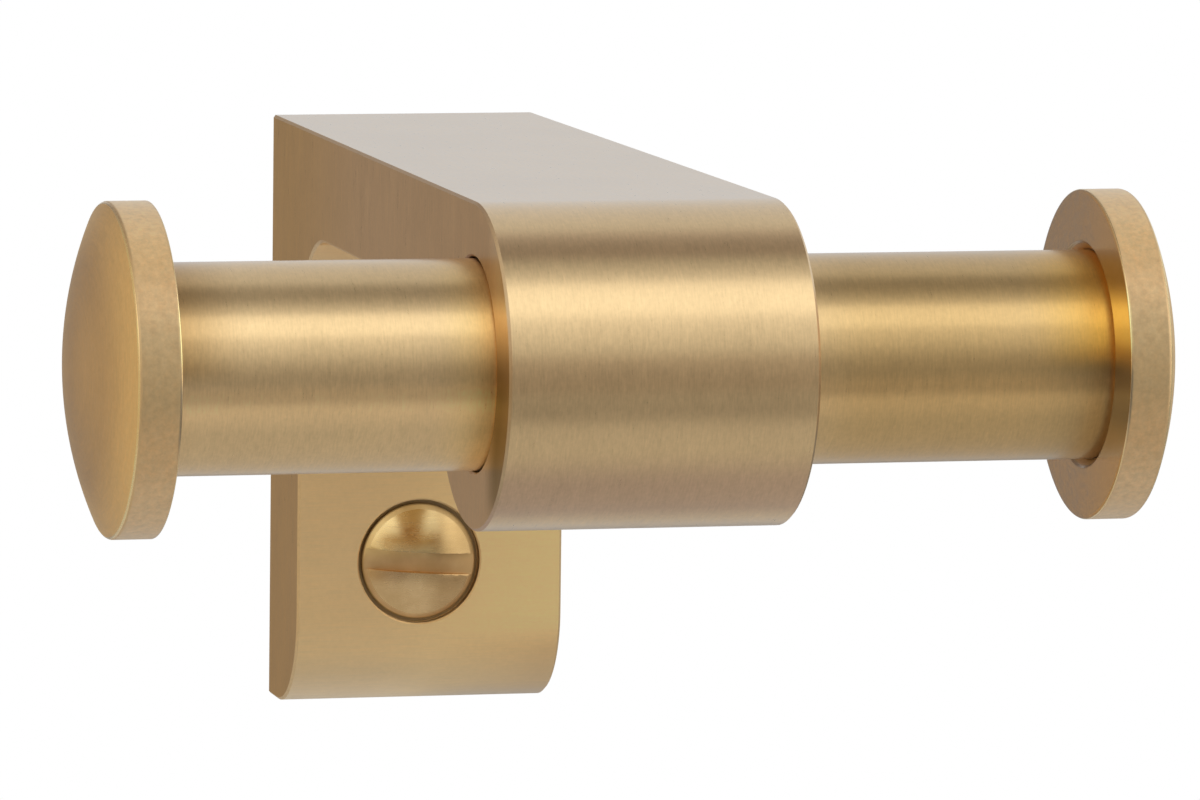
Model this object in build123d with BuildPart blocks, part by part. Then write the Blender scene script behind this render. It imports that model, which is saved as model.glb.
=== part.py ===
from build123d import *
import os
from math import radians, sqrt, tan

# Robe hook: a one-piece wall bracket, a rod through its round nose, and a domed knob on each end of the rod.
# Millimetres. X runs along the rod, -Y points away from the wall and +Z is up.
# The origin is the middle of the bracket's back face, on the wall.

os.makedirs("parts", exist_ok=True)

# Bracket
width_at_wall = 22.2
width_at_rod = 23.8
plate_height = 48.55
plate_thickness = 11.3
bar_reach = 74.7
bar_drop = 12.35
nose_radius = 12.5
arm_thickness = 8.6
inner_radius = 9.5
foot_radius = 8.0
root_radius = 2.0
body_edge_break = 0.2
bore_edge_break = 0.15

# Rod and its bore
bar_radius = 8.05
bore_clearance = 0.15
bar_exposed_length = 73.1
bar_side_shift = -0.3
bar_edge_break = 0.3

# Knobs
knob_radius = 12.7
rim_length = 3.25
dome_height = 2.8
socket_depth = 1.0
socket_clearance = 0.1
socket_lead = 0.6

# Threaded studs that join the knobs to the rod
stud_radius = 2.5
stud_in_knob = 3.6
stud_in_bar = 8.4
stud_clearance = 0.05
stud_hole_spare = 0.5
stud_hex_across = 2.5
stud_hex_depth = 2.5

# Grub screw in the underside of the nose
grub_radius = 2.0
grub_sink = 0.4
grub_clearance = 0.05
grub_hex_across = 2.0
grub_hex_depth = 1.8

# Wall screw and its hole
screw_rise = 12.4
screw_side_shift = -0.9
recess_radius = 5.15
recess_edge_break = 0.12
head_radius = 4.6
head_sink = 0.35
head_rim = 0.5
crown_height = 1.5
seat_angle = 82.0
seat_clearance = 0.05
shank_radius = 1.9
thread_radius = 2.4
thread_start = 0.5
thread_lead = 0.8
shank_hole_clearance = 0.35
screw_reach = 25.0
point_length = 6.0
point_radius = 0.3
slot_width = 1.7
slot_floor = 0.15
slot_tilt = -4.0

# Places worked out from the sizes
plate_top = plate_height / 2
plate_bottom = -plate_height / 2
bar_height = plate_top - bar_drop
nose_height = plate_top - nose_radius
underside = plate_top - arm_thickness
nose_rear = -bar_reach + sqrt(nose_radius**2 - (underside - nose_height) ** 2)
nose_tip = -bar_reach - nose_radius
nose_tip_width = width_at_wall + (width_at_rod - width_at_wall) * -nose_tip / bar_reach
bore_radius = bar_radius + bore_clearance
stud_hole_radius = stud_radius + stud_clearance
grub_hole_radius = grub_radius + grub_clearance
shank_hole_radius = thread_radius + shank_hole_clearance
seat_radius = head_radius + seat_clearance
rim_plane = plate_thickness - head_sink
seat_plane = rim_plane - head_rim


def bar_section(distance):
    """The plane across the rod at a distance to the right of its middle, looking back towards -X."""
    return Plane(origin=(bar_side_shift + distance, -bar_reach, bar_height), x_dir=(0, 1, 0), z_dir=(1, 0, 0))


def screw_section(distance):
    """The plane across the wall screw at a distance in front of the wall, facing the driver."""
    return Plane(origin=(screw_side_shift, -distance, plate_bottom + screw_rise), x_dir=(1, 0, 0), z_dir=(0, -1, 0))


# Half of the rod seen from the front: x along the rod from its middle, y out from its axis
bar_front = Plane(origin=bar_section(0).origin, x_dir=(1, 0, 0), z_dir=(0, -1, 0))
bar_axis = Axis(bar_section(0).origin, (1, 0, 0))
bar_middle = Plane.YZ.offset(bar_side_shift)
# Half of the wall screw seen from its side: x out from the wall, y out from its axis
screw_side = Plane(origin=screw_section(0).origin, x_dir=(0, -1, 0), z_dir=(1, 0, 0))
screw_axis = Axis(screw_section(0).origin, (0, -1, 0))


# Bracket: the outline of a 7, seen from the side and extruded across its width. Its side faces are flat
# and spread slightly towards the nose
with BuildPart() as hook_body:
    with BuildSketch(Plane.YZ) as side_view:
        with BuildLine():
            Polyline(
                (nose_rear, underside),
                (-plate_thickness, underside),
                (-plate_thickness, plate_bottom),
                (0, plate_bottom),
                (0, plate_top),
                (-bar_reach, plate_top),
            )
            ThreePointArc(
                (-bar_reach, plate_top),
                (nose_tip, nose_height),
                (nose_rear, underside),
            )
        make_face()
        front_corners = side_view.vertices().filter_by_position(Axis.X, -plate_thickness, -plate_thickness)
        fillet(front_corners.sort_by(Axis.Y)[-1], inner_radius)
        fillet(side_view.vertices().group_by(Axis.Y)[0].sort_by(Axis.X)[0], foot_radius)
        fillet(side_view.vertices().sort_by_distance((nose_rear, underside))[0], root_radius)
    extrude(amount=nose_tip_width / 2, both=True)
    with BuildSketch(Plane.XY.offset(plate_bottom)) as top_view:
        with BuildLine():
            Polyline(
                (width_at_wall / 2, 0),
                (nose_tip_width / 2, nose_tip),
                (-nose_tip_width / 2, nose_tip),
                (-width_at_wall / 2, 0),
                close=True,
            )
        make_face()
    extrude(amount=plate_height, mode=Mode.INTERSECT)
    sides = hook_body.faces().sort_by(Axis.X)
    chamfer(sides[0].edges() + sides[-1].edges(), body_edge_break)
    # Bore for the rod, through the nose
    with Locations(bar_section(0)):
        Hole(bore_radius)
    chamfer(hook_body.edges().filter_by(lambda edge: edge.is_closed), bore_edge_break)
    # Tapped hole for the grub screw, from below into the bore
    with BuildSketch(Plane.XY.offset(bar_height)):
        with Locations((0, -bar_reach)):
            Circle(grub_hole_radius)
    extrude(amount=-2 * nose_radius, mode=Mode.SUBTRACT)
    # Wall screw's hole: a straight recess, a countersunk seat and a clearance hole
    with Locations(screw_section(plate_thickness)):
        CounterBoreHole(shank_hole_radius, recess_radius, plate_thickness - seat_plane, plate_thickness)
    with Locations(screw_section(seat_plane)):
        CounterSinkHole(shank_hole_radius, seat_radius, seat_plane, seat_angle)
    recess_rim = hook_body.edges().filter_by(GeomType.CIRCLE).sort_by(Axis.Y)
    chamfer(recess_rim.filter_by(lambda edge: abs(edge.radius - recess_radius) < 0.01)[0], recess_edge_break)
hook_body.part.label = "hook_body"
export_step(hook_body.part, "parts/hook_body.step")


# Rod: straight, with a tapped hole in each end
bar_half = bar_exposed_length / 2 + socket_depth
with BuildPart() as cross_bar:
    with BuildSketch(bar_section(-bar_half)):
        Circle(bar_radius)
    extrude(amount=2 * bar_half)
    chamfer(cross_bar.edges().filter_by(GeomType.CIRCLE), bar_edge_break)
    with Locations(bar_section(bar_half), bar_section(-bar_half).rotated((0, 180, 0))):
        Hole(stud_hole_radius, depth=stud_in_bar + stud_hole_spare)
cross_bar.part.label = "cross_bar"
export_step(cross_bar.part, "parts/cross_bar.step")


# Knobs: a turned disc with a straight rim, a domed end and a shallow socket that the rod's end sits in
def make_knob(name, side):
    """One knob on the rod's end at side (-1 left, 1 right)."""
    inner_face = bar_exposed_length / 2
    socket_radius = bar_radius + socket_clearance
    with BuildPart() as knob:
        with BuildSketch(bar_front):
            with BuildLine():
                Polyline(
                    (inner_face + rim_length + dome_height, 0),
                    (inner_face + socket_depth, 0),
                    (inner_face + socket_depth, socket_radius),
                    (inner_face + socket_lead, socket_radius),
                    (inner_face, socket_radius + socket_lead),
                    (inner_face, knob_radius),
                    (inner_face + rim_length, knob_radius),
                )
                TangentArc(
                    (inner_face + rim_length + dome_height, 0),
                    (inner_face + rim_length, knob_radius),
                    tangent=(0, 1),
                )
            make_face()
        revolve(axis=bar_axis)
        with Locations(bar_section(inner_face + socket_depth).rotated((0, 180, 0))):
            Hole(stud_hole_radius, depth=stud_in_knob + stud_hole_spare)
        if side < 0:
            mirror(about=bar_middle, mode=Mode.REPLACE)
    knob.part.label = name
    export_step(knob.part, f"parts/{name}.step")


# Studs: headless screws, half in the rod and half in the knob
def make_stud(name, side):
    """One stud across the joint at side (-1 left, 1 right), with its hex socket towards the knob."""
    joint = bar_exposed_length / 2 + socket_depth
    with BuildPart() as stud:
        with BuildSketch(bar_section(joint - stud_in_bar)):
            Circle(stud_radius)
        extrude(amount=stud_in_bar + stud_in_knob)
        with BuildSketch(bar_section(joint + stud_in_knob)):
            RegularPolygon(stud_hex_across / 2, 6, major_radius=False)
        extrude(amount=-stud_hex_depth, mode=Mode.SUBTRACT)
        if side < 0:
            mirror(about=bar_middle, mode=Mode.REPLACE)
    stud.part.label = name
    export_step(stud.part, f"parts/{name}.step")


for side_name, side_sign in (("left", -1), ("right", 1)):
    make_knob(f"{side_name}_knob", side_sign)
    make_stud(f"{side_name}_stud", side_sign)


# Grub screw: its flat tip bears on the rod, and its socket faces down
grub_foot = nose_height - nose_radius + grub_sink
with BuildPart() as bar_set_screw:
    with BuildSketch(Plane.XY.offset(grub_foot)):
        with Locations((0, -bar_reach)):
            Circle(grub_radius)
    extrude(amount=bar_height - bar_radius - grub_foot)
    with BuildSketch(Plane.XY.offset(grub_foot)):
        with Locations((0, -bar_reach)):
            RegularPolygon(grub_hex_across / 2, 6, major_radius=False)
    extrude(amount=grub_hex_depth, mode=Mode.SUBTRACT)
bar_set_screw.part.label = "bar_set_screw"
export_step(bar_set_screw.part, "parts/bar_set_screw.step")


# Wall screw: a slotted raised head on a cone, a plain shank in the plate, and past the wall's face a
# threaded stretch, drawn to the thread's crest, and a point
with BuildPart() as wall_screw:
    with BuildSketch(screw_side):
        cone_length = (head_radius - shank_radius) / tan(radians(seat_angle / 2))
        with BuildLine():
            Polyline(
                (rim_plane + crown_height, 0),
                (-screw_reach, 0),
                (-screw_reach, point_radius),
                (-screw_reach + point_length, thread_radius),
                (-thread_start, thread_radius),
                (-thread_start + thread_lead, shank_radius),
                (seat_plane - cone_length, shank_radius),
                (seat_plane, head_radius),
                (rim_plane, head_radius),
            )
            TangentArc((rim_plane + crown_height, 0), (rim_plane, head_radius), tangent=(0, 1))
        make_face()
    revolve(axis=screw_axis)
    with BuildSketch(screw_section(rim_plane + slot_floor)):
        Rectangle(4 * head_radius, slot_width, rotation=slot_tilt)
    extrude(amount=crown_height, mode=Mode.SUBTRACT)
wall_screw.part.label = "wall_screw"
export_step(wall_screw.part, "parts/wall_screw.step")
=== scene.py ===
import math

import bmesh
import bpy
from mathutils import Matrix, Vector


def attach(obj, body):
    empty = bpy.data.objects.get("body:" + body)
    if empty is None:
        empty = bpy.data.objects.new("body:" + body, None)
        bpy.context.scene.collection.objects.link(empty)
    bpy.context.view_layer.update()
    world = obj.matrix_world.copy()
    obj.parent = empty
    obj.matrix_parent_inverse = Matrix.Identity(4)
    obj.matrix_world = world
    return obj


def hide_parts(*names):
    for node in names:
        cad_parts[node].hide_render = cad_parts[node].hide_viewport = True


# Robe hook in satin brass. Metres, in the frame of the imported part: X along the rod, -Y out from the wall
# and +Z up. The bracket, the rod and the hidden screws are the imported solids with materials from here. The
# knobs and the wall screw are built here and stand for their solids.

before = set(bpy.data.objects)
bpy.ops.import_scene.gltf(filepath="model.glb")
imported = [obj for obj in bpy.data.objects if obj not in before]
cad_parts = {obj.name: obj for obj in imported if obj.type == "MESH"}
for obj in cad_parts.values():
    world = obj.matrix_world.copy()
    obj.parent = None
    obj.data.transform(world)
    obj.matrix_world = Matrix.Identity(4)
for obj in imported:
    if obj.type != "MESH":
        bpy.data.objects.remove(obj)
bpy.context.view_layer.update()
MM = 0.001

# Camera, fitted to the photo
PHOTO_WIDTH = 1200
SENSOR = 36.0
FOCAL_PIXELS = 9439.3
CAMERA_AT = Vector((-0.17842, -0.76399, 0.093175))
YAW = 0.2507
PITCH = 0.1177
ROLL = 0.0123

# Sizes that are the solids' own
BAR_REACH = 74.7 * MM
BAR_HEIGHT = 11.925 * MM
BAR_SHIFT = -0.3 * MM
BAR_HALF = 36.55 * MM
KNOB_RADIUS = 12.7 * MM
RIM_LENGTH = 3.25 * MM
DOME_HEIGHT = 2.8 * MM
SOCKET_DEPTH = 1.0 * MM
SOCKET_RADIUS = 8.15 * MM
SOCKET_LEAD = 0.6 * MM
UNDERSIDE = 15.675 * MM
RECESS_RADIUS = 5.15 * MM
SCREW_X = -0.9 * MM
SCREW_Z = -11.875 * MM
HEAD_RADIUS = 4.6 * MM
HEAD_RIM_PLANE = 10.95 * MM
HEAD_RIM = 0.5 * MM
CROWN_HEIGHT = 1.5 * MM
SEAT_ANGLE = math.radians(82.0)
SHANK_RADIUS = 1.9 * MM
CREST_RADIUS = 2.4 * MM
THREAD_START = 0.5 * MM
SCREW_REACH = 25.0 * MM
POINT_LENGTH = 6.0 * MM
SLOT_WIDTH = 1.7 * MM
SLOT_FLOOR = 0.15 * MM
SLOT_TILT = math.radians(-4.0)

# Fine forms that only the pieces built here have
RIM_ROUNDING = 0.42 * MM
INNER_BREAK = 0.12 * MM
HEAD_LIP = 0.2 * MM
HEAD_LIP_RISE = 0.1 * MM
HEAD_BROW = 0.08 * MM
SLOT_BREAK = 0.08 * MM
THREAD_PITCH = 2.1 * MM
THREAD_CORE = 1.65 * MM
THREAD_FADE = 1.5 * MM
RIDGE_HALF = 0.28  # of the pitch
POINT_RADIUS = 0.12 * MM
POINT_RIDGE = 0.08  # of the crest's radius
HEAD_END = 1.0 * MM  # where the head's mesh meets the thread's, in front of the wall

# Fineness of the meshes, and the corners in degrees that stay crisp
KNOB_SEGMENTS = 160
DOME_STEPS = 26
ROUNDING_STEPS = 6
BREAK_STEPS = 4
HEAD_SEGMENTS = 96
CROWN_STEPS = 18
THREAD_SEGMENTS = 40
THREAD_ROWS = 14  # in one turn
FLOOR_SEGMENTS = 96
KNOB_CREASE = 30
HEAD_CREASE = 35

# Brass between its lighter and its darker brush lines, and the dark brass of the painted shade in the
# screw's recess and on the screw's flank
WHITE = (1.0, 1.0, 1.0, 1.0)
BRASS = (0.785, 0.545, 0.268)
BRASS_DEEP = (0.775, 0.53, 0.255)
BRUSH_SPREAD = 0.16
SHADED_BRASS = (0.46, 0.32, 0.14, 1.0)
SIDE_TINT = (0.93, 0.81, 0.64, 1.0)
SCREW_BRASS = (0.84, 0.615, 0.29, 1.0)
SCREW_BRASS_DEEP = (0.72, 0.505, 0.22, 1.0)
STEEL = (0.6, 0.6, 0.61, 1.0)
STEEL_DEEP = (0.42, 0.42, 0.43, 1.0)

# Roughness, coat and how far the brushing draws a highlight out
SATIN = 0.31
PLATE_ROUGHER = 0.3
RIM_ROUGHNESS = 0.7
DOME_ROUGHNESS = 0.56
INNER_ROUGHNESS = 0.17
EDGE_ROUGHNESS = 0.25
SLOT_ROUGHNESS = 0.5
BODY_COAT = 0.8
ROD_COAT = 0.55
RIM_COAT = 0.8
KNOB_COAT = 0.45
COAT_ROUGHNESS = 0.3
STRETCH = 0.75
PLATE_STRETCH = 0.4
DOME_STRETCH = 0.2
INNER_STRETCH = 0.6
BRUSH_DEPTH = 0.0009 * MM
HAIRLINE_DEPTH = 0.002 * MM

# Noise cells a metre along X, Y and Z: the brush lines lie where the cells are longest
LINES_ROUND = (7400.0, 1000.0, 1000.0)
LINES_ACROSS = (450.0, 3000.0, 6500.0)
LINES_UPRIGHT = (300.0, 5600.0, 500.0)
HAIRLINES = (500.0, 500.0, 4000.0)
TURNED_LINES = 4600.0
TURNED_ALONG = 600.0
CLOUD_CELLS = 90.0
GRIT_CELLS = 2600.0
BLOTCH_CELLS = 1900.0
MOTTLE_CELLS = 1500.0
SMEAR_CELLS = 400.0
STEEL_CELLS = 3000.0

# Painted light and shade on the brass at places on each piece, as factors on red, green and blue
NO_TONE = (1.0, 1.0, 1.0)
PLATE_LIGHT = (1.2, 1.26, 1.3)
PLATE_RIGHT_LIGHT = (1.12, 1.12, 1.05)
FOOT_REFLECTION = (0.9, 0.95, 1.1)
FOOT_LEFT_LIGHT = (1.1, 1.12, 1.18)
FOOT_RIGHT_SHADE = (0.84, 0.8, 0.8)
FOOT_RIGHT_BELOW_SHADE = (0.84, 0.87, 1.0)
SIDE_LIGHT_NEAR_NOSE = (1.05, 1.12, 1.5)
SIDE_SHADOW_BY_ROD = (0.4, 0.37, 0.25)
SIDE_LIGHT_ABOVE_ROD = (1.25, 1.35, 1.42)
NOSE_LOW_SHADE = (0.76, 0.71, 0.82)
NOSE_SHADE = (0.89, 0.85, 0.83)
NOSE_TOP_SHADE = (0.86, 0.8, 0.79)
ROD_RIGHT_SHADE = (0.82, 0.77, 0.63)
ROD_REFLECTION_BY_LEFT_KNOB = (0.67, 0.58, 0.43)
ROD_REFLECTION_BY_RIGHT_KNOB = (1.24, 1.1, 0.56)
ROD_SHADE_BY_RIGHT_KNOB = (0.8, 0.82, 0.82)
ROD_LIGHT_BY_NOSE = (1.08, 1.06, 0.88)
ROD_LOW_LIGHT = (1.28, 1.25, 1.22)
EDGE_HIGHLIGHT = (1.35, 1.38, 1.35)
DOME_SHADE = (0.95, 0.92, 0.87)
DOME_RING_LIGHT = (1.3, 1.33, 1.22)
RIM_TOP_LIGHT = (1.25, 1.33, 1.45)
RIM_FRONT_SHADE = (0.83, 0.86, 0.88)
RIM_BELOW_LIGHT = (1.1, 1.17, 1.35)
FACE_REFLECTION_BY_ROD = (1.3, 1.5, 1.45)
FACE_SHADE_BELOW_ROD = (0.52, 0.57, 0.68)
SOCKET_LIP_SHADE = (0.5, 0.44, 0.34)
SCREW_LEFT_HIGHLIGHT = (1.25, 1.27, 1.25)
SCREW_RIGHT_SHADE = (0.65, 0.59, 0.54)
SCREW_LOW_REFLECTION = (1.0, 0.93, 0.97)

# Studio: the room's colours by direction, one soft lamp, and the floor
ROOM = (0.33, 0.33, 0.33, 1.0)
LEFT_NEAR = (0.275, 0.255, 0.265, 1.0)
LEFT_FAR = (0.53, 0.47, 0.38, 1.0)
BACKDROP = (0.69, 0.725, 0.775, 1.0)
KEY_COLOUR = (0.93, 1.0, 1.06)
BROAD_LIGHT = 0.62
RIGHT_FILL = 0.9
KEY_WATTS = 1.2
KEY_AT = (0.13, -0.86, 1.0)
KEY_TARGET = (0.0, -0.07, 0.0)
KEY_WIDTH = 1.5
KEY_HEIGHT = 0.55
FLOOR_RADIUS = 0.7
FLOOR_LEVEL = -0.32
FLOOR_GREY = (0.77, 0.77, 0.77, 1.0)


class Graph:
    """A node tree with short calls for adding and joining nodes."""

    def __init__(self, tree):
        self.tree = tree
        tree.nodes.clear()

    def put(self, socket, value):
        """Joins an output to a socket, or sets the socket's own value."""
        if isinstance(value, bpy.types.NodeSocket):
            self.tree.links.new(value, socket)
        elif value is not None:
            socket.default_value = value

    def add(self, kind, settings=None, **inputs):
        """A node with its settings and its inputs, named as in the interface with _ for a space."""
        node = self.tree.nodes.new(kind)
        for key, value in (settings or {}).items():
            setattr(node, key, value)
        for key, value in inputs.items():
            self.put(node.inputs[key.replace("_", " ")], value)
        return node

    def math(self, operation, a, b=None):
        node = self.add("ShaderNodeMath", {"operation": operation})
        self.put(node.inputs[0], a)
        self.put(node.inputs[1], b)
        return node.outputs[0]

    def product(self, first, *others):
        for other in others:
            first = self.math("MULTIPLY", first, other)
        return first

    def rest(self, mask):
        """The mask turned round: 1 where it is 0."""
        return self.math("SUBTRACT", 1.0, mask)

    def vector_math(self, operation, a, b=None):
        node = self.add("ShaderNodeVectorMath", {"operation": operation})
        self.put(node.inputs[0], a)
        self.put(node.inputs[1], b)
        return node.outputs[1 if operation in ("DOT_PRODUCT", "LENGTH") else 0]

    def combine(self, x, y, z):
        return self.add("ShaderNodeCombineXYZ", X=x, Y=y, Z=z).outputs[0]

    def length(self, x, y, z):
        return self.vector_math("LENGTH", self.combine(x, y, z))

    def split(self, vector):
        return self.add("ShaderNodeSeparateXYZ", Vector=vector).outputs

    def ramp(self, value, low, high, to_low=0.0, to_high=1.0, smooth=False):
        """The value mapped from low..high to to_low..to_high and held there."""
        settings = {"interpolation_type": "SMOOTHSTEP" if smooth else "LINEAR"}
        node = self.add("ShaderNodeMapRange", settings, Value=value)
        for key, number in (("From Min", low), ("From Max", high), ("To Min", to_low), ("To Max", to_high)):
            self.put(node.inputs[key], number)
        return node.outputs[0]

    def rise(self, value, low, high):
        """0 below low, 1 above high, and smooth between."""
        return self.ramp(value, low, high, smooth=True)

    def fall(self, value, low, high):
        """1 below low, 0 above high, and smooth between."""
        return self.ramp(value, low, high, 1.0, 0.0, smooth=True)

    def band(self, value, middle, core, reach):
        """1 within core of the middle, and 0 from reach onwards."""
        return self.fall(self.math("ABSOLUTE", self.math("SUBTRACT", value, middle)), core, reach)

    def mix(self, factor, a, b, kind="RGBA"):
        node = self.add("ShaderNodeMix", {"data_type": kind})
        first = {"FLOAT": 2, "VECTOR": 4, "RGBA": 6}[kind]
        self.put(node.inputs[0], factor)
        self.put(node.inputs[first], a)
        self.put(node.inputs[first + 1], b)
        return node.outputs[{"FLOAT": 0, "VECTOR": 1, "RGBA": 2}[kind]]

    def between(self, factor, a, b):
        """The number a where the factor is 0, and b where it is 1."""
        return self.mix(factor, a, b, "FLOAT")

    def noise(self, vector, scale=1.0, detail=2.0, roughness=0.5):
        node = self.add("ShaderNodeTexNoise", Vector=vector, Scale=scale, Detail=detail, Roughness=roughness)
        return node.outputs[0]

    def tones(self, *parts):
        """A colour factor: each (mask, factor) part applies where its mask is 1."""
        total = None
        for mask, factor in parts:
            part = self.mix(mask, NO_TONE, factor, "VECTOR")
            total = part if total is None else self.vector_math("MULTIPLY", total, part)
        return total

    def position(self):
        return self.add("ShaderNodeTexCoord").outputs["Object"]

    def facing(self):
        """The surface's direction."""
        return self.add("ShaderNodeTexCoord").outputs["Normal"]


def new_material(name):
    """A material and the graph of its nodes."""
    material = bpy.data.materials.new(name)
    material.use_nodes = True
    return material, Graph(material.node_tree)


def brushed_brass(
    graph,
    grain,
    tangent,
    gain,
    roughness=SATIN,
    coat=ROD_COAT,
    stretch=STRETCH,
    calm=0.0,
    tint=WHITE,
    painted_shade=0.0,
):
    """Brass with fine brush lines. grain is the lines' noise place, fast across them and slow along them,
    and the highlight is drawn out along tangent. gain is colour factors, mostly painted light and shade,
    calm fades the lines, and the last one is a mask where the brass is darkened as painted shade."""
    place = graph.position()
    fine = graph.noise(grain, 1.0, 3.0, 0.6)
    broad = graph.noise(grain, 0.22, 2.0, 0.5)
    waves = graph.noise(grain, 0.12, 2.0, 0.5)
    cloud = graph.noise(place, CLOUD_CELLS, 3.0, 0.55)
    grit = graph.noise(place, GRIT_CELLS, 3.0, 0.6)
    lines = graph.math("ADD", graph.product(fine, 0.75), graph.product(broad, 0.25))
    tone = graph.math("ADD", graph.product(lines, 0.55), graph.product(cloud, 0.2))
    tone = graph.math("ADD", tone, graph.product(grit, 0.25))
    tone = graph.between(calm, tone, 0.5)
    darker = tuple(part * (1 - BRUSH_SPREAD) for part in BRASS_DEEP) + (1.0,)
    lighter = tuple(part * (1 + BRUSH_SPREAD) for part in BRASS) + (1.0,)
    colour = graph.mix(graph.ramp(tone, 0.3, 0.7), darker, lighter)
    colour = graph.vector_math("MULTIPLY", colour, gain)
    colour = graph.mix(painted_shade, colour, SHADED_BRASS)
    rough = graph.math("ADD", graph.ramp(lines, 0.25, 0.75, -0.05, 0.05), roughness)
    height = graph.math("ADD", graph.product(waves, 3.0), fine)
    strength = graph.between(calm, 1.0, 0.2)
    bump = graph.add("ShaderNodeBump", Strength=strength, Distance=BRUSH_DEPTH, Height=height)
    shader = graph.add(
        "ShaderNodeBsdfPrincipled",
        Base_Color=colour,
        Metallic=1.0,
        Roughness=rough,
        Anisotropic=stretch,
        Specular_Tint=tint,
        Coat_Weight=coat,
        Coat_Roughness=COAT_ROUGHNESS,
        Normal=bump.outputs[0],
        Tangent=tangent,
    )
    graph.add("ShaderNodeOutputMaterial", Surface=shader.outputs[0])


def plain_metal(graph, colour, rough, height):
    """Metal with no lines to draw its highlight out."""
    bump = graph.add("ShaderNodeBump", Strength=1.0, Distance=HAIRLINE_DEPTH, Height=height)
    shader = graph.add(
        "ShaderNodeBsdfPrincipled", Base_Color=colour, Metallic=1.0, Roughness=rough, Normal=bump.outputs[0]
    )
    graph.add("ShaderNodeOutputMaterial", Surface=shader.outputs[0])


def from_rod(graph, y, z):
    """How far a place is in front of the rod's axis (less than 0) or behind it, and how far above."""
    return graph.math("ADD", y, BAR_REACH), graph.math("SUBTRACT", z, BAR_HEIGHT)


def from_screw(graph, x, z):
    """The distance from the wall screw's axis."""
    return graph.length(graph.math("SUBTRACT", x, SCREW_X), 0.0, graph.math("SUBTRACT", z, SCREW_Z))


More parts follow.
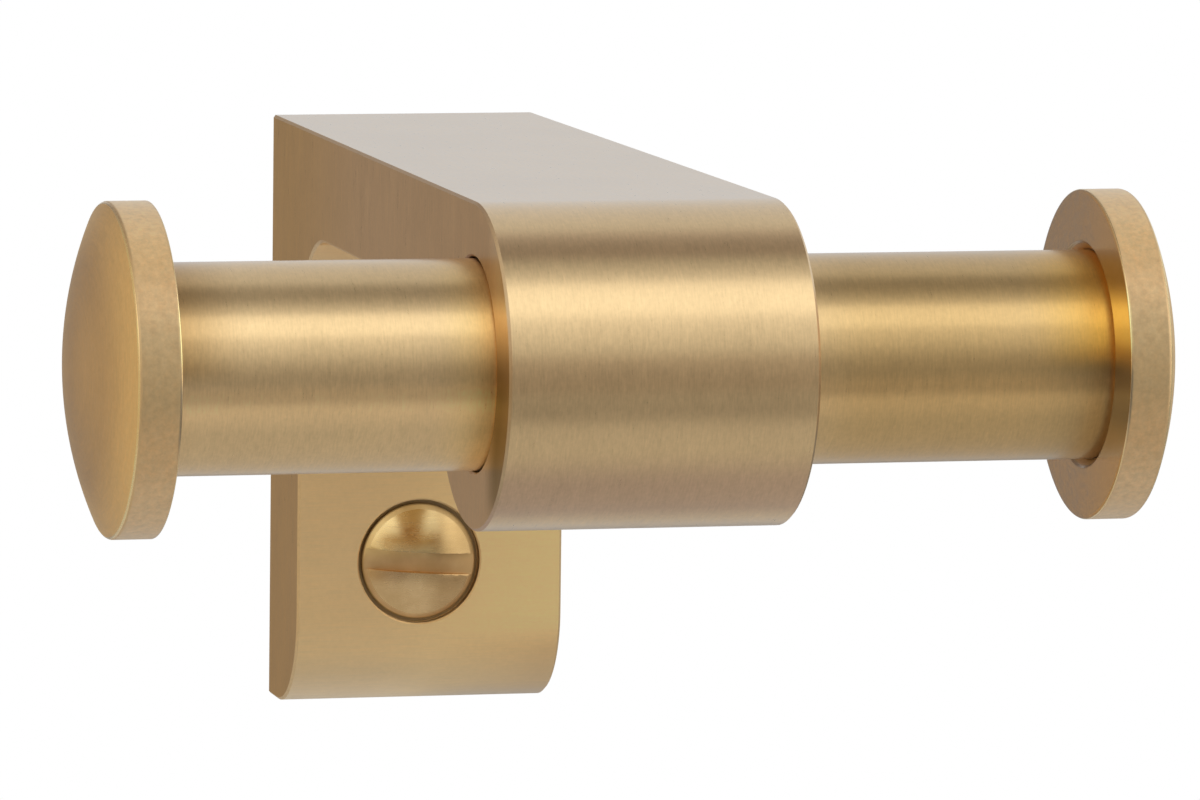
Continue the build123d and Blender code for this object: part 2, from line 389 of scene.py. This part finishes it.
def body_material():
    """The bracket: lines round the nose and along the arm, across the plate, and upright on the sides."""
    material, graph = new_material("satin_brass_body")
    place = graph.position()
    x, y, z = graph.split(place)
    nx, ny, nz = graph.split(graph.facing())
    down = graph.product(nz, -1.0)
    out, up = from_rod(graph, y, z)
    radius = graph.length(0.0, out, up)

    # Surfaces: the two sides, the back, the plate's face with its foot, and the nose
    side = graph.ramp(graph.math("ABSOLUTE", nx), 0.65, 0.75)
    back = graph.ramp(ny, 0.65, 0.75)
    below_arm = graph.product(
        graph.ramp(y, -26 * MM, -24 * MM),
        graph.ramp(z, UNDERSIDE - 0.5 * MM, UNDERSIDE - 0.3 * MM, 1.0, 0.0),
    )
    face = graph.product(below_arm, graph.rest(graph.math("MAXIMUM", side, back)))
    nose = graph.ramp(y, -66 * MM, -62 * MM, 1.0, 0.0)
    nose_round = graph.product(nose, graph.rest(side))
    # Painted shade: the recess round the screw's head is darkened to dark brass
    recess_shaded = graph.product(
        graph.ramp(from_screw(graph, x, z), RECESS_RADIUS - 0.09 * MM, RECESS_RADIUS + 0.01 * MM, 1.0, 0.0),
        graph.ramp(y, -20 * MM, -19 * MM),
        graph.ramp(y, -1.5 * MM, -1.2 * MM, 1.0, 0.0),
    )

    # Brush lines, and the tangent along which they draw the highlight out
    flat = graph.math("MAXIMUM", below_arm, back)
    round_nose = graph.vector_math("MULTIPLY", place, LINES_ROUND)
    across = graph.vector_math("MULTIPLY", place, LINES_ACROSS)
    upright = graph.vector_math("MULTIPLY", place, LINES_UPRIGHT)
    grain = graph.mix(flat, round_nose, across, "VECTOR")
    grain = graph.mix(side, grain, upright, "VECTOR")
    tangent = graph.mix(flat, (1.0, 0.0, 0.0), (0.0, 0.0, 1.0), "VECTOR")
    tangent = graph.mix(side, tangent, (0.0, 1.0, 0.0), "VECTOR")

    # Painted light and shade on the plate, and on its foot by how far the surface looks down: a painted
    # reflection along the foot, lighter on its left and shaded on its right
    foot = graph.product(face, graph.rise(down, 0.3, 0.8))
    foot_left_lit = graph.product(face, graph.ramp(down, 0.62, 0.85), graph.fall(x, -3 * MM, 2 * MM))
    foot_right_shaded = graph.product(face, graph.rise(down, 0.1, 0.45), graph.ramp(x, 0.0, 10 * MM))
    foot_right_below_shaded = graph.product(face, graph.ramp(down, 0.78, 0.95), graph.rise(x, -1 * MM, 5 * MM))
    plate_right_lit = graph.product(face, graph.rise(x, -7 * MM, 9 * MM))
    # Painted light on the sides towards the nose, and where the rod comes out a painted shadow beside it and
    # painted light above it
    side_lit_near_nose = graph.product(side, graph.ramp(y, -40 * MM, -4 * MM, 1.0, 0.2, smooth=True))
    nose_side = graph.product(
        side, graph.fall(out, -8.5 * MM, -4 * MM), graph.ramp(radius, 12.6 * MM, 14 * MM, 1.0, 0.0)
    )
    by_rod = graph.product(
        nose_side,
        graph.ramp(radius, 10 * MM, 12.6 * MM, 1.0, 0.75),
        graph.rise(up, -12 * MM, -9 * MM),
        graph.fall(up, -1.5 * MM, 5 * MM),
    )
    side_lit_above_rod = graph.product(nose_side, graph.rise(up, 3.5 * MM, 5.5 * MM))
    # Bands of shade round the nose
    nose_low_shaded = graph.product(nose, graph.rise(down, 0.4, 0.66), graph.fall(down, 0.8, 0.92))
    nose_shade = graph.product(nose_round, graph.band(nz, 0.05, 0.05, 0.17))
    nose_top_shade = graph.product(nose_round, graph.band(nz, 0.79, 0.03, 0.11))
    gain = graph.tones(
        (face, PLATE_LIGHT),
        (foot, FOOT_REFLECTION),
        (foot_left_lit, FOOT_LEFT_LIGHT),
        (foot_right_shaded, FOOT_RIGHT_SHADE),
        (foot_right_below_shaded, FOOT_RIGHT_BELOW_SHADE),
        (plate_right_lit, PLATE_RIGHT_LIGHT),
        (side_lit_near_nose, SIDE_LIGHT_NEAR_NOSE),
        (by_rod, SIDE_SHADOW_BY_ROD),
        (side_lit_above_rod, SIDE_LIGHT_ABOVE_ROD),
        (nose_low_shaded, NOSE_LOW_SHADE),
        (nose_shade, NOSE_SHADE),
        (nose_top_shade, NOSE_TOP_SHADE),
    )
    brushed_brass(
        graph,
        grain,
        tangent,
        gain,
        roughness=graph.math("ADD", graph.product(face, PLATE_ROUGHER), SATIN),
        coat=graph.product(graph.rest(side), BODY_COAT),
        stretch=graph.between(face, STRETCH, PLATE_STRETCH),
        calm=graph.math("MAXIMUM", graph.product(face, 0.6), graph.product(side, 0.3)),
        tint=graph.mix(side, WHITE, SIDE_TINT),
        painted_shade=recess_shaded,
    )
    return material


def rod_material():
    """The rod: lines round it, with painted light, shade and reflections along it."""
    material, graph = new_material("satin_brass_rod")
    place = graph.position()
    x = graph.split(place)[0]
    down = graph.product(graph.split(graph.facing())[2], -1.0)
    # Painted light and shade: a lighter band low on the rod, shade on its right part, painted reflections of
    # the knobs on its top near them, shade under it by the right knob, and light by the nose
    low = graph.product(graph.rise(down, 0.0, 0.16), graph.fall(down, 0.25, 0.55))
    below = graph.rise(down, -0.15, 0.1)
    above = graph.rest(below)
    by_left_knob = graph.fall(x, -37 * MM, -30 * MM)
    by_right_knob = graph.rise(x, 29 * MM, 36 * MM)
    by_nose = graph.product(graph.rise(x, -17 * MM, -12.5 * MM), graph.ramp(x, 0.0, 1 * MM, 1.0, 0.0))
    gain = graph.tones(
        (graph.rise(x, 8 * MM, 18 * MM), ROD_RIGHT_SHADE),
        (graph.product(by_left_knob, above), ROD_REFLECTION_BY_LEFT_KNOB),
        (graph.product(by_right_knob, above), ROD_REFLECTION_BY_RIGHT_KNOB),
        (graph.product(by_right_knob, below), ROD_SHADE_BY_RIGHT_KNOB),
        (by_nose, ROD_LIGHT_BY_NOSE),
        (low, ROD_LOW_LIGHT),
    )
    grain = graph.vector_math("MULTIPLY", place, LINES_ROUND)
    brushed_brass(graph, grain, graph.combine(1.0, 0.0, 0.0), gain)
    return material


def knob_material():
    """The knobs: turned, so the lines are circles about the rod's axis on rim, dome and inner face."""
    material, graph = new_material("satin_brass_knob")
    place = graph.position()
    x, y, z = graph.split(place)
    out, up = from_rod(graph, y, z)
    arm = graph.combine(0.0, out, up)
    radius = graph.vector_math("LENGTH", arm)
    facing = graph.facing()
    nx, _, nz = graph.split(facing)

    across = graph.product(graph.math("ADD", x, radius), TURNED_LINES)
    grain = graph.combine(across, graph.product(out, TURNED_ALONG), graph.product(up, TURNED_ALONG))
    round_axis = graph.vector_math("CROSS_PRODUCT", (1.0, 0.0, 0.0), arm)
    tangent = graph.vector_math("CROSS_PRODUCT", facing, graph.vector_math("NORMALIZE", round_axis))

    # Surfaces. lean is 0 on the rim and 1 on a flat end
    lean = graph.math("ABSOLUTE", nx)
    from_middle = graph.math("ABSOLUTE", graph.math("SUBTRACT", x, BAR_SHIFT))
    inner = graph.ramp(from_middle, BAR_HALF + 0.1 * MM, BAR_HALF + 0.25 * MM, 1.0, 0.0)
    rim = graph.ramp(lean, 0.1, 0.3, 1.0, 0.0)
    dome = graph.product(graph.ramp(lean, 0.8, 0.88), graph.rest(inner))
    # Painted shade over the dome and painted light on it towards its edge, and a painted highlight along the
    # rounded edges, where the finish is also smoother
    dome_ring_lit = graph.product(dome, graph.rise(radius, 7.5 * MM, 12.3 * MM))
    # Sine of twice the lean from the axis: 1 where the surface stands at 45 degrees, as on a rounded edge
    across_axis = graph.math("SQRT", graph.math("MAXIMUM", graph.rest(graph.product(lean, lean)), 0.0))
    diagonal = graph.product(lean, across_axis, 2.0)
    edge = graph.product(graph.rise(diagonal, 0.84, 0.96), graph.ramp(radius, 12.2 * MM, 12.4 * MM))

    # Random mottling round the rim, painted light and shade round the rim, a painted reflection of the rod
    # and painted shade on the inner face in front of it, and painted shade on the socket's lip
    blotch = graph.ramp(graph.noise(place, BLOTCH_CELLS, 5.0, 0.7), 0.3, 0.7, 0.9, 1.1)
    rim_top_lit = graph.product(rim, graph.rise(nz, 0.58, 0.92))
    rim_front_shaded = graph.product(rim, graph.band(nz, 0.1, 0.15, 0.45))
    rim_below_lit = graph.product(rim, graph.rise(graph.product(nz, -1.0), 0.35, 0.75))
    inner_front = graph.product(inner, graph.ramp(out, -4 * MM, -2 * MM, 1.0, 0.0))
    level = graph.product(graph.rise(up, 1 * MM, 2.5 * MM), graph.fall(up, 4.5 * MM, 7 * MM))
    by_rod = graph.product(inner_front, level)
    level = graph.product(graph.rise(up, -6 * MM, -3 * MM), graph.fall(up, -0.5 * MM, 1 * MM))
    face_shaded_below_rod = graph.product(inner_front, level)
    socket_lip_shaded = graph.product(inner, graph.ramp(radius, 8.7 * MM, 8.85 * MM, 1.0, 0.0))
    gain = graph.tones(
        (edge, EDGE_HIGHLIGHT),
        (dome, DOME_SHADE),
        (dome_ring_lit, DOME_RING_LIGHT),
        (rim, graph.combine(blotch, blotch, blotch)),
        (rim_top_lit, RIM_TOP_LIGHT),
        (rim_front_shaded, RIM_FRONT_SHADE),
        (rim_below_lit, RIM_BELOW_LIGHT),
        (by_rod, FACE_REFLECTION_BY_ROD),
        (face_shaded_below_rod, FACE_SHADE_BELOW_ROD),
        (socket_lip_shaded, SOCKET_LIP_SHADE),
    )
    mottle = graph.ramp(graph.noise(place, MOTTLE_CELLS, 4.0, 0.65), 0.35, 0.65, -0.05, 0.05)
    rough = graph.between(rim, graph.between(inner, DOME_ROUGHNESS, INNER_ROUGHNESS), RIM_ROUGHNESS)
    rough = graph.between(edge, rough, EDGE_ROUGHNESS)
    brushed_brass(
        graph,
        grain,
        tangent,
        gain,
        roughness=graph.math("ADD", rough, mottle),
        coat=graph.between(rim, KNOB_COAT, RIM_COAT),
        stretch=graph.between(inner, DOME_STRETCH, INNER_STRETCH),
        calm=graph.between(rim, graph.between(inner, 0.3, 0.75), 0.7),
    )
    return material


def screw_material():
    """The wall screw: polished brass with a few hairlines and a dull slot, with painted highlight, shade and
    reflection on its head and painted shade on its flank.
    """
    material, graph = new_material("polished_brass_screw")
    place = graph.position()
    x, y, z = graph.split(place)
    hair = graph.noise(graph.vector_math("MULTIPLY", place, HAIRLINES), 1.0, 3.0, 0.6)
    smear = graph.noise(place, SMEAR_CELLS, 3.0, 0.6)
    colour = graph.mix(graph.ramp(smear, 0.35, 0.7), SCREW_BRASS_DEEP, SCREW_BRASS)

    # Painted highlight on the head's upper left, painted shade on its right, and a painted reflection tint
    # on its lower half
    in_head = graph.ramp(y, -9 * MM, -8 * MM, 1.0, 0.0)
    upper = graph.ramp(z, SCREW_Z, SCREW_Z + 1 * MM)
    left = graph.product(in_head, upper, graph.fall(x, SCREW_X - 3 * MM, SCREW_X - 0.5 * MM))
    right = graph.product(in_head, graph.between(upper, 0.55, 1.0), graph.rise(x, SCREW_X, SCREW_X + 2 * MM))
    low = graph.product(in_head, graph.rest(upper))
    tone = graph.tones((left, SCREW_LEFT_HIGHLIGHT), (right, SCREW_RIGHT_SHADE), (low, SCREW_LOW_REFLECTION))
    # Painted shade on the head's flank under its rim
    flank_shaded = graph.product(
        graph.ramp(from_screw(graph, x, z), 4.68 * MM, 4.74 * MM), graph.ramp(y, -11.1 * MM, -11.0 * MM)
    )
    colour = graph.mix(flank_shaded, graph.vector_math("MULTIPLY", colour, tone), SHADED_BRASS)

    wear = graph.math("ADD", graph.product(hair, 0.5), graph.product(smear, 0.5))
    slot = graph.ramp(y, -11.25 * MM, -11.2 * MM)
    rough = graph.between(slot, graph.ramp(wear, 0.35, 0.65, 0.21, 0.31), SLOT_ROUGHNESS)
    plain_metal(graph, colour, rough, hair)
    return material


def steel_material():
    """The hidden studs and the grub screw: plain steel with turning marks."""
    material, graph = new_material("screw_steel")
    marks = graph.noise(graph.position(), STEEL_CELLS, 2.0, 0.5)
    plain_metal(graph, graph.mix(marks, STEEL_DEEP, STEEL), graph.ramp(marks, 0.3, 0.7, 0.3, 0.45), marks)
    return material


def arc(centre, radius, start, end, steps):
    """Points on an arc, as (along, out) pairs. Angles in radians from the along direction."""
    turns = [start + (end - start) * i / steps for i in range(steps + 1)]
    return [(centre[0] + radius * math.cos(t), centre[1] + radius * math.sin(t)) for t in turns]


def ring_point(centre, first, second, turn, out):
    """The point at an angle round a ring, at the distance out from its centre."""
    return centre + (first * math.cos(turn) + second * math.sin(turn)) * out


def add_object(name, mesh, smooth=True):
    """The finished mesh as an object of the scene."""
    for face in mesh.faces:
        face.smooth = smooth
    data = bpy.data.meshes.new(name)
    mesh.to_mesh(data)
    mesh.free()
    piece = bpy.data.objects.new(name, data)
    bpy.context.scene.collection.objects.link(piece)
    return piece


def lathe(name, profile, origin, axis, first, segments):
    """A closed solid of revolution. profile is (along, out) pairs from the axis back to the axis."""
    second = axis.cross(first)
    turns = [2 * math.pi * i / segments for i in range(segments)]
    mesh = bmesh.new()
    rings = []
    for along, out in profile:
        centre = origin + axis * along
        if out < 1e-9:
            rings.append([mesh.verts.new(centre)])
        else:
            rings.append([mesh.verts.new(ring_point(centre, first, second, turn, out)) for turn in turns])
    for a, b in zip(rings, rings[1:]):
        for i in range(segments):
            j = (i + 1) % segments
            corners = [a[i % len(a)], a[j % len(a)], b[j % len(b)], b[i % len(b)]]
            unique = list(dict.fromkeys(corners))
            if len(unique) > 2:
                mesh.faces.new(unique)
    bmesh.ops.recalc_face_normals(mesh, faces=mesh.faces)
    return add_object(name, mesh)


def sharpen(piece, degrees):
    """Keeps corners steeper than the angle crisp under smooth shading."""
    data = piece.data
    mesh = bmesh.new()
    mesh.from_mesh(data)
    for edge in mesh.edges:
        edge.smooth = len(edge.link_faces) < 2 or edge.calc_face_angle(0.0) < math.radians(degrees)
    mesh.to_mesh(data)
    mesh.free()


def finish_piece(piece, material, nodes):
    """Gives a piece its material and place in the frame, and lets it stand for its solids."""
    piece.data.materials.append(material)
    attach(piece, "root")
    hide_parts(*nodes)


def make_knob(side, material):
    """A knob with its rims rounded: socket, inner face, rim and dome. side is -1 left or 1 right."""
    rounding = RIM_ROUNDING
    dome_radius = (KNOB_RADIUS**2 + DOME_HEIGHT**2) / (2 * DOME_HEIGHT)
    crown = RIM_LENGTH + DOME_HEIGHT
    dome_centre = crown - dome_radius
    # Rounding between the rim and the dome: its centre is inside both
    bend_out = KNOB_RADIUS - rounding
    bend_along = dome_centre + math.sqrt((dome_radius - rounding) ** 2 - bend_out**2)
    meet = math.atan2(bend_out, bend_along - dome_centre)
    # Socket with its lead-in
    lead_out = SOCKET_RADIUS + SOCKET_LEAD
    profile = [(SOCKET_DEPTH, 0.0), (SOCKET_DEPTH, SOCKET_RADIUS)]
    profile += [(SOCKET_LEAD, SOCKET_RADIUS), (0.0, lead_out)]
    # Inner face, with a ring near each end that keeps it flat under smooth shading
    profile += [(0.0, lead_out + 1.5 * MM), (0.0, KNOB_RADIUS - 3 * INNER_BREAK)]
    break_centre = (INNER_BREAK, KNOB_RADIUS - INNER_BREAK)
    profile += arc(break_centre, INNER_BREAK, math.pi, math.pi / 2, BREAK_STEPS)
    # Rim, its rounding and the dome
    profile += [(3 * INNER_BREAK, KNOB_RADIUS), (bend_along - rounding, KNOB_RADIUS)]
    profile += arc((bend_along, bend_out), rounding, math.pi / 2, meet, ROUNDING_STEPS)
    for i in range(1, DOME_STEPS):
        turn = meet * (1 - i / DOME_STEPS)
        profile.append((dome_centre + dome_radius * math.cos(turn), dome_radius * math.sin(turn)))
    profile.append((crown, 0.0))
    axis = Vector((side, 0.0, 0.0))
    origin = Vector((BAR_SHIFT + side * BAR_HALF, -BAR_REACH, BAR_HEIGHT))
    name = "left_knob" if side < 0 else "right_knob"
    piece = lathe(name + "_turned", profile, origin, axis, Vector((0.0, 0.0, 1.0)), KNOB_SEGMENTS)
    sharpen(piece, KNOB_CREASE)
    finish_piece(piece, material, [name])


def make_wall_screw(material):
    """The wall screw: a raised slotted head on a cone, a shank, and a thread that runs out on the point."""
    axis = Vector((0.0, -1.0, 0.0))
    first = Vector((1.0, 0.0, 0.0))
    origin = Vector((SCREW_X, 0.0, SCREW_Z))
    head = make_head(origin, axis, first)
    cut_slot(head, origin + axis * (HEAD_RIM_PLANE + SLOT_FLOOR + CROWN_HEIGHT / 2))
    shank = make_thread(origin, axis, first)
    finish_piece(head, material, ["wall_screw"])
    finish_piece(shank, material, ["wall_screw"])


def make_head(origin, axis, first):
    """The screw's head before its slot, with its cone and the shank in the plate."""
    rim_radius = HEAD_RADIUS + HEAD_LIP
    crown_radius = (rim_radius**2 + CROWN_HEIGHT**2) / (2 * CROWN_HEIGHT)
    crown_centre = HEAD_RIM_PLANE + CROWN_HEIGHT - crown_radius
    half = math.asin(rim_radius / crown_radius)
    seat = HEAD_RIM_PLANE - HEAD_RIM
    cone = (HEAD_RADIUS - SHANK_RADIUS) / math.tan(SEAT_ANGLE / 2)
    # Rings close to the crown's edge keep its shading crisp there
    profile = []
    for step in [*range(CROWN_STEPS), CROWN_STEPS - 0.5, CROWN_STEPS - 0.2, CROWN_STEPS]:
        turn = half * step / CROWN_STEPS
        profile.append((crown_centre + crown_radius * math.cos(turn), crown_radius * math.sin(turn)))
    profile += [
        (HEAD_RIM_PLANE - HEAD_BROW, rim_radius),
        (seat + HEAD_LIP_RISE, rim_radius),
        (seat, HEAD_RADIUS),
        (seat - cone, SHANK_RADIUS),
        (HEAD_END, SHANK_RADIUS),
        (HEAD_END, 0.0),
    ]
    return lathe("wall_screw_head", profile, origin, axis, first, HEAD_SEGMENTS)


def cut_slot(head, middle):
    """Cuts the slot across the head's crown and breaks its edges."""
    mesh = bmesh.new()
    turn = Matrix.Rotation(-SLOT_TILT, 4, "Y")
    size = Matrix.Diagonal((4 * HEAD_RADIUS, CROWN_HEIGHT, SLOT_WIDTH, 1.0))
    bmesh.ops.create_cube(mesh, size=1.0, matrix=Matrix.Translation(middle) @ turn @ size)
    cutter = add_object("slot_cutter", mesh, smooth=False)
    cut = head.modifiers.new("slot", "BOOLEAN")
    cut.operation = "DIFFERENCE"
    cut.solver = "EXACT"
    cut.object = cutter
    bevel = head.modifiers.new("broken_edges", "BEVEL")
    bevel.width = SLOT_BREAK
    bevel.segments = 2
    bevel.limit_method = "ANGLE"
    bevel.angle_limit = math.radians(HEAD_CREASE)
    bpy.context.view_layer.update()
    done = bpy.data.meshes.new_from_object(head.evaluated_get(bpy.context.evaluated_depsgraph_get()))
    head.modifiers.clear()
    head.data = done
    bpy.data.objects.remove(cutter)
    for polygon in done.polygons:
        polygon.use_smooth = True
    sharpen(head, HEAD_CREASE)


def make_thread(origin, axis, first):
    """The screw's threaded end. Each ring's points stand at the height that the thread has there."""
    second = axis.cross(first)
    length = SCREW_REACH + HEAD_END
    rows = round(length / THREAD_PITCH * THREAD_ROWS)
    mesh = bmesh.new()
    rings = []
    for row in range(rows + 1):
        along = HEAD_END - length * row / rows
        behind = -along
        fade_in = min(1.0, max(0.0, (behind - THREAD_START) / THREAD_FADE))
        point = min(1.0, (SCREW_REACH - behind) / POINT_LENGTH)
        core = THREAD_CORE + (SHANK_RADIUS - THREAD_CORE) * (1 - fade_in)
        core = max(POINT_RADIUS, core * point)
        crest = max(0.0, CREST_RADIUS * min(1.0, point + POINT_RIDGE) - core) * fade_in
        ring = []
        for i in range(THREAD_SEGMENTS):
            turn = 2 * math.pi * i / THREAD_SEGMENTS
            phase = (behind / THREAD_PITCH + i / THREAD_SEGMENTS) % 1.0
            rise = max(0.0, 1.0 - abs(phase - 0.5) / RIDGE_HALF)
            out = min(core + crest * rise, CREST_RADIUS)
            ring.append(mesh.verts.new(ring_point(origin + axis * along, first, second, turn, out)))
        rings.append(ring)
    for a, b in zip(rings, rings[1:]):
        for i in range(THREAD_SEGMENTS):
            j = (i + 1) % THREAD_SEGMENTS
            mesh.faces.new((a[i], a[j], b[j], b[i]))
    mesh.faces.new(rings[0])
    mesh.faces.new(rings[-1])
    bmesh.ops.recalc_face_normals(mesh, faces=mesh.faces)
    return add_object("wall_screw_thread", mesh)


def view_direction():
    """The direction in which the photo was taken."""
    return (math.sin(YAW) * math.cos(PITCH), math.cos(YAW) * math.cos(PITCH), -math.sin(PITCH))


def make_camera():
    """The photo's viewpoint: left of the hook, a little above it and turned towards it."""
    ahead = Vector(view_direction())
    level = Vector((math.cos(YAW), -math.sin(YAW), 0.0))
    upright = level.cross(ahead)
    right = math.cos(ROLL) * level + math.sin(ROLL) * upright
    up = -math.sin(ROLL) * level + math.cos(ROLL) * upright
    data = bpy.data.cameras.new("camera")
    data.sensor_fit = "HORIZONTAL"
    data.sensor_width = SENSOR
    data.lens = FOCAL_PIXELS / PHOTO_WIDTH * SENSOR
    data.clip_start = 0.01
    data.clip_end = 20.0
    camera = bpy.data.objects.new("camera", data)
    turn = Matrix((right, up, -ahead)).transposed().to_4x4()
    camera.matrix_world = Matrix.Translation(CAMERA_AT) @ turn
    bpy.context.scene.collection.objects.link(camera)
    bpy.context.scene.camera = camera


def make_softbox():
    """A rectangular lamp above and in front of the hook."""
    data = bpy.data.lights.new("key", "AREA")
    data.shape = "RECTANGLE"
    data.size = KEY_WIDTH
    data.size_y = KEY_HEIGHT
    data.energy = KEY_WATTS
    data.color = KEY_COLOUR
    lamp = bpy.data.objects.new("key", data)
    lamp.location = KEY_AT
    lamp.rotation_euler = (Vector(KEY_TARGET) - Vector(KEY_AT)).to_track_quat("-Z", "Y").to_euler()
    lamp.visible_camera = False
    bpy.context.scene.collection.objects.link(lamp)


def make_floor():
    """A round pale floor well below the hook, which fades out at its rim."""
    mesh = bmesh.new()
    lower = Matrix.Translation((0.0, 0.0, FLOOR_LEVEL))
    bmesh.ops.create_circle(mesh, cap_ends=True, segments=FLOOR_SEGMENTS, radius=FLOOR_RADIUS, matrix=lower)
    floor = add_object("floor", mesh, smooth=False)
    material, graph = new_material("floor")
    x, y, _ = graph.split(graph.position())
    matte = graph.add("ShaderNodeBsdfDiffuse", Color=FLOOR_GREY)
    clear = graph.add("ShaderNodeBsdfTransparent")
    fade = graph.add("ShaderNodeMixShader")
    graph.put(fade.inputs[0], graph.rise(graph.length(x, y, 0.0), 0.7 * FLOOR_RADIUS, 0.99 * FLOOR_RADIUS))
    graph.put(fade.inputs[1], matte.outputs[0])
    graph.put(fade.inputs[2], clear.outputs[0])
    graph.add("ShaderNodeOutputMaterial", Surface=fade.outputs[0])
    floor.data.materials.append(material)


def make_world():
    """The studio. To the camera it is white. To the rest it is a dim room with a broad soft light in front
    and above, a pale backdrop behind towards the right, white where the camera sees it, and warm grey on the
    left."""
    world = bpy.data.worlds.new("studio")
    world.use_nodes = True
    graph = Graph(world.node_tree)
    light_path = graph.add("ShaderNodeLightPath").outputs
    towards = graph.add("ShaderNodeTexCoord").outputs["Generated"]
    x, y, z = graph.split(towards)
    # Degrees from the horizon in front, over the zenith and down behind
    degrees = graph.product(graph.math("ARCTAN2", z, graph.product(y, -1.0)), 180 / math.pi)

    # The room: warm grey on the left, and the backdrop high behind towards the right
    left = graph.product(x, -1.0)
    far_left = graph.mix(graph.ramp(left, 0.3, 0.8), LEFT_NEAR, LEFT_FAR)
    room = graph.mix(graph.rise(left, -0.05, 0.2), ROOM, far_left)
    behind = graph.product(graph.rise(degrees, 98.0, 114.0), graph.rise(z, -0.1, 0.05))
    behind = graph.product(behind, graph.rise(x, -0.2, 0.1))
    room = graph.mix(behind, room, BACKDROP)
    # A second soft light, low in front at the far right
    beside = graph.product(graph.rise(x, 0.5, 0.75), graph.fall(y, -0.2, 0.1), graph.rise(z, -0.4, -0.15))
    beside = graph.product(beside, RIGHT_FILL)
    room = graph.vector_math("ADD", room, graph.combine(beside, beside, beside))
    # The broad light: rises from the horizon in front, and ends short of the zenith
    broad = graph.product(
        graph.rise(degrees, -5.0, 41.0), graph.fall(degrees, 57.0, 92.0), graph.band(x, -0.05, 0.75, 1.0)
    )
    light = graph.combine(*[graph.product(broad, BROAD_LIGHT * part) for part in KEY_COLOUR])
    lit = graph.vector_math("ADD", room, light)

    # White for the camera, and for the metal where the camera looks
    facing = graph.vector_math("DOT_PRODUCT", towards, view_direction())
    panel = graph.rise(facing, math.cos(math.radians(10)), math.cos(math.radians(5)))
    shiny = graph.math("MAXIMUM", light_path["Is Glossy Ray"], light_path["Is Transmission Ray"])
    white = graph.math("MAXIMUM", light_path["Is Camera Ray"], graph.product(shiny, panel))
    background = graph.add("ShaderNodeBackground", Color=graph.mix(white, lit, WHITE), Strength=1.0)
    graph.add("ShaderNodeOutputWorld", Surface=background.outputs[0])
    bpy.context.scene.world = world


body = body_material()
rod = rod_material()
knob = knob_material()
screw = screw_material()
steel = steel_material()
dress = {"hook_body": body, "cross_bar": rod, "left_knob": knob, "right_knob": knob, "wall_screw": screw}
for node_name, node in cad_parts.items():
    for slot in node.material_slots:
        slot.material = dress.get(node_name, steel)

make_knob(-1, knob)
make_knob(1, knob)
make_wall_screw(screw)
make_camera()
make_world()
make_floor()
make_softbox()
bpy.context.scene.view_settings.view_transform = "Standard"
